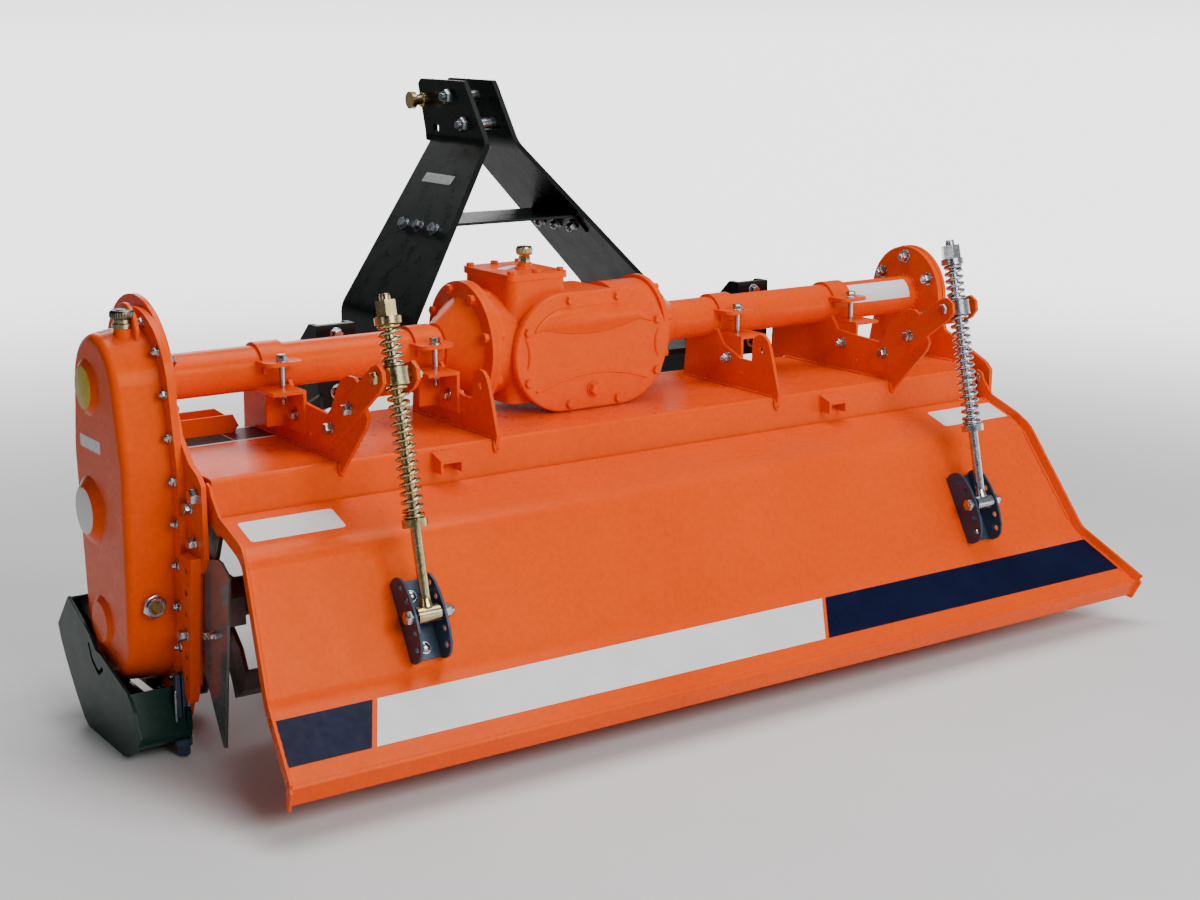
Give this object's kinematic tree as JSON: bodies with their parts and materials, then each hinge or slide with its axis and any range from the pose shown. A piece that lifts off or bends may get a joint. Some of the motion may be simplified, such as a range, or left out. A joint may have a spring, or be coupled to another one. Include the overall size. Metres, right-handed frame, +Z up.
{
  "type": "tractor-mounted rotary tiller",
  "caption": "Three-point-hitch rotary tiller with a side gear case, bladed rotor under a hood, mast, and a spring-rod trailing board behind.",
  "frame": {"origin": "middle of the machine's box, on the floor it parks on", "axes": "+X the machine's right seen from behind, +Y forward to the tractor, +Z up"},
  "size_m": [2.2106, 1.2834, 1.208],
  "materials": {
    "orange_paint": "gloss",
    "black_paint": "gloss",
    "skid_paint": "satin",
    "rotor_paint": "satin",
    "blade_steel": "satin",
    "bright_zinc": "bright",
    "yellow_zinc": "bright",
    "bracket_paint": "satin",
    "guard_grey": "gloss",
    "machined_steel": "machined",
    "black_plastic": "matt",
    "sight_glass": "gloss"
  },
  "bodies": {
    "frame": {"main_tube_left": "orange_paint", "main_tube_right": "orange_paint", "gearbox_housing": "orange_paint", "gearbox_rear_cover": "orange_paint", "gearbox_top_cover": "orange_paint", "gearbox_breather": "black_plastic", "pto_guard": "black_plastic", "gear_case": "orange_paint", "gear_case_filler_cap": "black_plastic", "gear_case_oil_sight": "sight_glass", "left_side_plate": "orange_paint", "right_side_plate": "orange_paint", "rotor_hub_left": "orange_paint", "rotor_hub_right": "orange_paint", "board_hinge_pins": "bright_zinc", "hood": "orange_paint", "inner_support_plates": "orange_paint", "outer_support_plates": "orange_paint", "tube_clamps": "orange_paint", "clamp_brackets": "orange_paint", "spring_fork_arms": "orange_paint", "mast_left": "black_paint", "mast_right": "black_paint", "top_link_pin": "yellow_zinc", "mast_spacers": "bright_zinc", "mast_brace": "black_paint", "lower_hitch_left": "black_paint", "lower_hitch_right": "black_paint", "lower_hitch_pin_left": "bright_zinc", "lower_hitch_pin_right": "bright_zinc", "skid_left": "skid_paint", "skid_right": "skid_paint", "side_guards": "guard_grey"},
    "rotor": {"rotor_shaft": "rotor_paint", "rotor_blades": "blade_steel"},
    "pto_input": {"pto_shaft": "machined_steel"},
    "board": {"trailing_board": "orange_paint", "board_brackets": "bracket_paint", "board_eye_bolts": "bright_zinc"},
    "trunnion_left": {"rod_trunnion_left": "yellow_zinc", "lower_spring_left": "yellow_zinc", "upper_spring_left": "yellow_zinc"},
    "trunnion_right": {"rod_trunnion_right": "bright_zinc", "lower_spring_right": "bright_zinc", "upper_spring_right": "bright_zinc"},
    "rod_left": {"spring_rod_left": "yellow_zinc"},
    "rod_right": {"spring_rod_right": "bright_zinc"}
  },
  "joints": [
    {"name": "rotor_spin", "type": "hinge", "parent": "frame", "child": "rotor", "pos_m": [0.00973, 0.02967, 0.23], "axis": [-1, 0, 0], "continuous": true},
    {"name": "pto_spin", "type": "hinge", "parent": "frame", "child": "pto_input", "pos_m": [0.04273, 0.22967, 0.666], "axis": [0, 1, 0], "continuous": true},
    {"name": "board_lift", "type": "hinge", "parent": "frame", "child": "board", "pos_m": [0.00973, -0.21033, 0.513], "axis": [-1, 0, 0], "range_deg": [0, 25]},
    {"name": "trunnion_left_tilt", "type": "hinge", "parent": "frame", "child": "trunnion_left", "pos_m": [-0.66527, -0.38433, 0.727], "axis": [-1, 0, 0], "range_deg": [0, 16]},
    {"name": "rod_left_slide", "type": "slide", "parent": "trunnion_left", "child": "rod_left", "axis": [0, 0.2279, 0.9737], "range_m": [0, 0.103], "deforming": ["lower_spring_left"]},
    {"name": "trunnion_right_tilt", "type": "hinge", "parent": "frame", "child": "trunnion_right", "pos_m": [0.73873, -0.38433, 0.727], "axis": [-1, 0, 0], "range_deg": [0, 16]},
    {"name": "rod_right_slide", "type": "slide", "parent": "trunnion_right", "child": "rod_right", "axis": [0, 0.2279, 0.9737], "range_m": [0, 0.103], "deforming": ["lower_spring_right"]}
  ],
  "couplings": [
    {"joint": "pto_spin", "follows": "rotor_spin", "ratio": 2.57},
    {"joint": "trunnion_left_tilt", "follows": "board_lift", "ratio": 0.639},
    {"joint": "rod_left_slide", "follows": "board_lift", "m_per_rad": 0.235},
    {"joint": "trunnion_right_tilt", "follows": "board_lift", "ratio": 0.639},
    {"joint": "rod_right_slide", "follows": "board_lift", "m_per_rad": 0.235}
  ]
}
